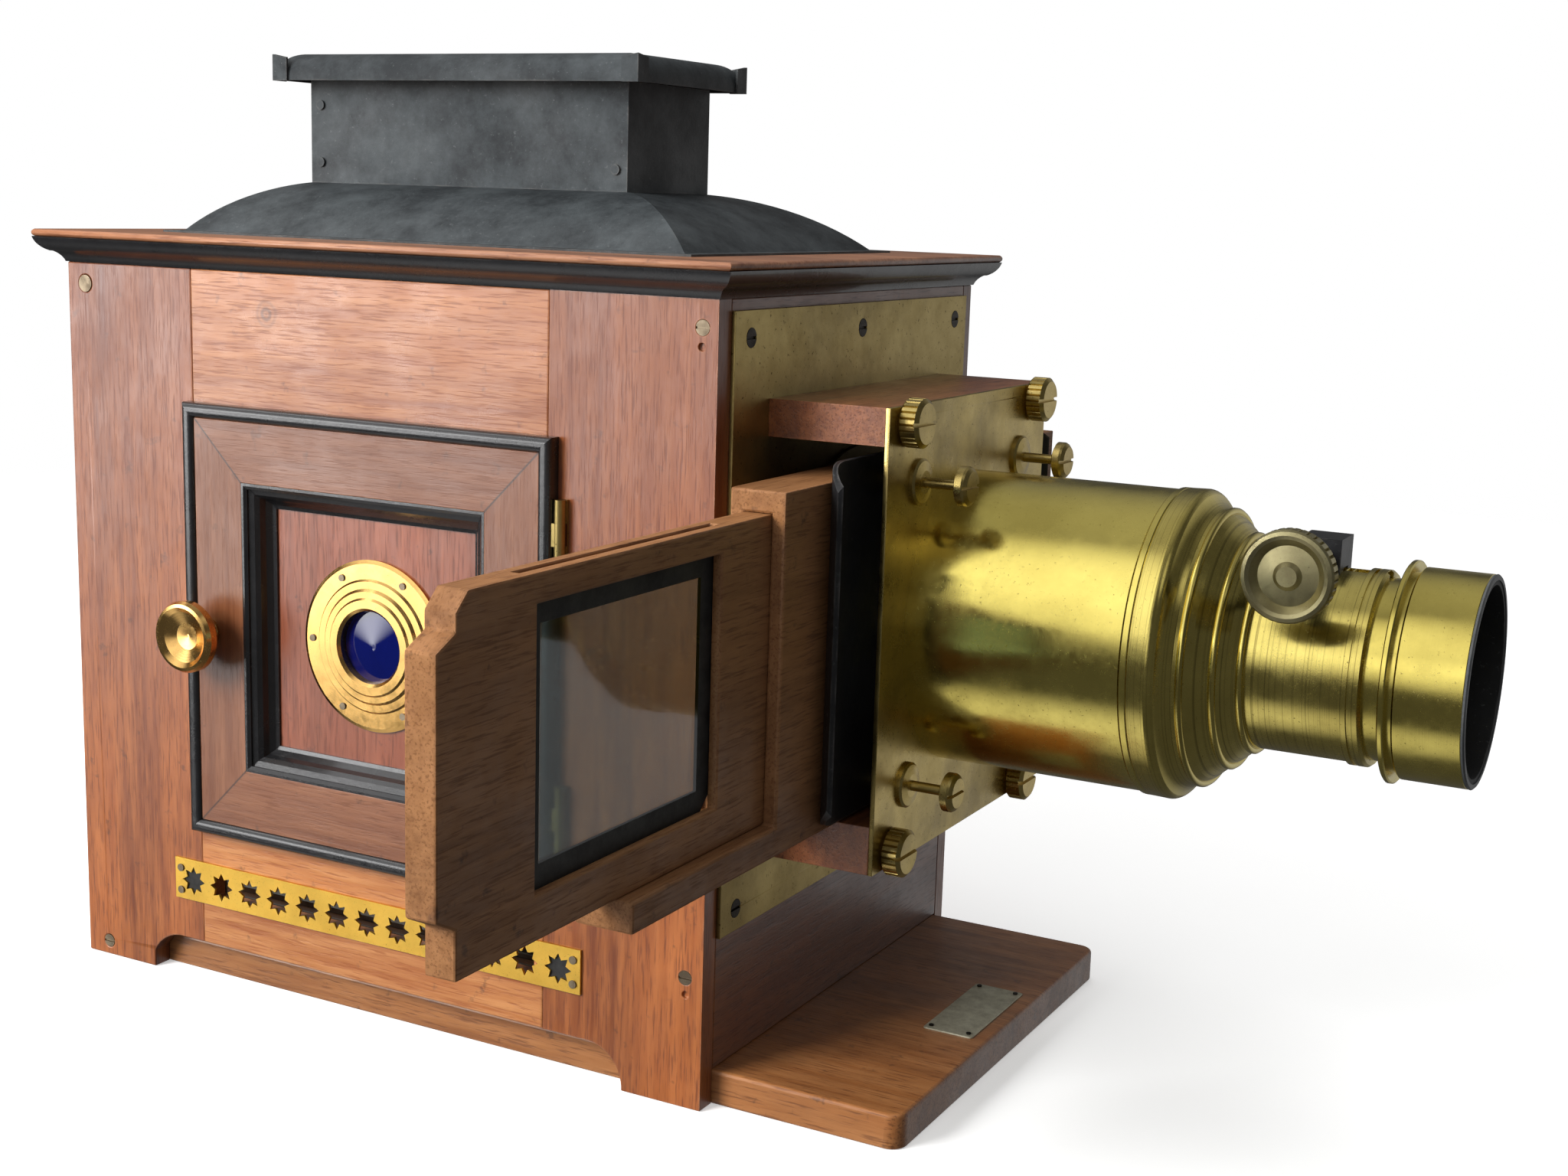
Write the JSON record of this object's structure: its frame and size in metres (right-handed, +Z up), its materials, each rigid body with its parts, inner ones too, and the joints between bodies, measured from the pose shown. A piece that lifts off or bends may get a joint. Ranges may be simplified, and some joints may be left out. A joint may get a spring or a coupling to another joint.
{
  "type": "magic lantern",
  "caption": "Slide projector in a mahogany lamp-house with a hinged door, capped chimney, long slide carrier and a brass lens tube focused by rack and pinion.",
  "frame": {"origin": "on the ground, on the base board's underside below the middle of the lamp-house", "axes": "+X from the lamp-house towards the lens, +Z up, the door and the focusing knob on the -Y side"},
  "size_m": [0.5252, 0.4006, 0.3588],
  "materials": {
    "mahogany": "polished mahogany, straight grain",
    "mahogany_roof": "polished mahogany edge",
    "ebonised": "black polished wood",
    "japanned": "black japanned metal, worn edges",
    "tin": "dark japanned tin",
    "bare_tin": "dull bare tin, sooted",
    "lacquered_brass": "lacquered brass, turned",
    "tarnished_brass": "tarnished flat brass",
    "bright_brass": "bright stamped brass",
    "pale_plate": "pale bare plate",
    "dark_steel": "blackened screws",
    "clear_glass": "clear glass",
    "blue_glass": "deep blue glass",
    "slide_pane": "clear glass of the slide",
    "black_paper": "black paper binding"
  },
  "bodies": {
    "lantern": {"base_board": "mahogany", "nameplate": "pale_plate", "nameplate_pins": "dark_steel", "near_rear_stile": "mahogany", "near_front_stile": "mahogany", "near_top_rail": "mahogany", "near_bottom_rail": "mahogany", "far_wall": "mahogany", "front_board": "mahogany", "rear_frame": "mahogany", "inner_lining": "bare_tin", "cornice": "ebonised", "roof_board": "mahogany_roof", "dome": "tin", "chimney": "tin", "near_vent_strip": "bright_brass", "far_vent_strip": "bright_brass", "wall_screws": "dark_steel", "front_plate": "tarnished_brass", "plate_screws": "dark_steel", "condenser_cell": "tarnished_brass", "condenser_spacer": "tarnished_brass", "condenser_rear_lens": "clear_glass", "condenser_front_lens": "clear_glass", "stage_top_block": "mahogany", "stage_bottom_block": "mahogany", "stage_plate": "lacquered_brass", "stage_screws": "lacquered_brass", "plunger_bushes": "lacquered_brass", "lens_jacket": "lacquered_brass", "lens_cone": "lacquered_brass", "pinion_box": "japanned", "fixed_hinge_leaves": "tarnished_brass", "carrier_frame": "mahogany"},
    "door": {"door_frame": "mahogany", "door_bead": "ebonised", "door_moulding": "ebonised", "door_panel": "mahogany", "door_bezel": "tarnished_brass", "door_glass": "blue_glass", "door_screws": "dark_steel", "door_knob": "tarnished_brass", "door_hinge_leaves": "tarnished_brass"},
    "cap": {"chimney_cap": "tin"},
    "sliding_frame": {"slide_frame": "mahogany", "slide_binding": "black_paper", "slide_glass": "slide_pane"},
    "pressure": {"pressure_plate": "japanned", "plungers": "lacquered_brass"},
    "focus": {"focus_tube": "lacquered_brass", "hood": "lacquered_brass", "objective_front_lens": "clear_glass", "objective_rear_lens": "clear_glass"},
    "pinion": {"pinion": "dark_steel", "focus_knob": "lacquered_brass"},
    "lamp": {"lamp_tray": "bare_tin", "lamp_fount": "bare_tin", "lamp_burner": "bare_tin"}
  },
  "joints": [
    {"name": "door_swing", "type": "hinge", "parent": "lantern", "child": "door", "pos_m": [0.0852, -0.1042, 0.145], "axis": [0, 0, 1], "range_deg": [0, 100]},
    {"name": "cap_lift", "type": "slide", "parent": "lantern", "child": "cap", "axis": [0, 0, 1], "range_m": [0, 0.06]},
    {"name": "carrier_push", "type": "slide", "parent": "lantern", "child": "sliding_frame", "axis": [0, 1, 0], "range_m": [0, 0.194]},
    {"name": "pressure_slide", "type": "slide", "parent": "lantern", "child": "pressure", "axis": [1, 0, 0], "range_m": [0, 0.005], "stiffness_N_per_m": 400, "springref_m": -0.01},
    {"name": "focus_slide", "type": "slide", "parent": "lantern", "child": "focus", "axis": [1, 0, 0], "range_m": [-0.005, 0.02]},
    {"name": "pinion_turn", "type": "hinge", "parent": "lantern", "child": "pinion", "pos_m": [0.318, 0, 0.199], "axis": [0, 1, 0], "range_deg": [-275, 70]},
    {"name": "lamp_slide", "type": "slide", "parent": "lantern", "child": "lamp", "axis": [-1, 0, 0], "range_m": [0, 0.15]}
  ],
  "couplings": [
    {"joint": "pinion_turn", "follows": "focus_slide", "rad_per_m": -238.1}
  ]
}
